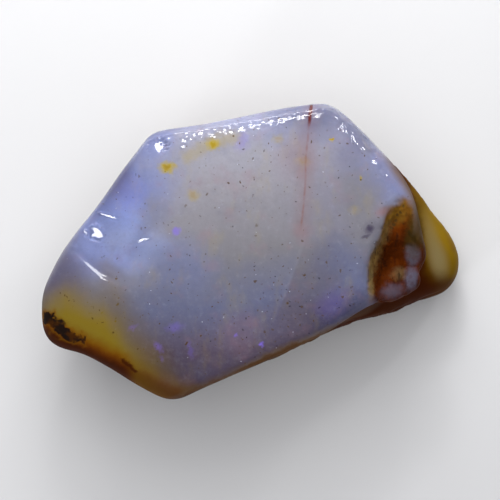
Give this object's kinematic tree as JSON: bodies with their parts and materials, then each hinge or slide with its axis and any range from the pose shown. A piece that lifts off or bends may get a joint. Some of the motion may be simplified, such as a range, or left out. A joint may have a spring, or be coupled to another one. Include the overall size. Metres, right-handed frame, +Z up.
{
  "type": "rough opal",
  "caption": "Rough water-worn opal that lies on its flat back: a milky slab over an amber potch shelf, with a small hollow broken out of one end.",
  "frame": {"origin": "middle of the bounding box in X and Y, on the flat back that the stone lies on", "axes": "+Z up through the main face, +X along the stone's length towards its amber heel, +Y across it"},
  "size_m": [0.031, 0.0216, 0.012],
  "materials": {
    "opal": "smooth, water-worn gloss"
  },
  "bodies": {
    "root": {"opal": "opal"}
  },
  "joints": []
}
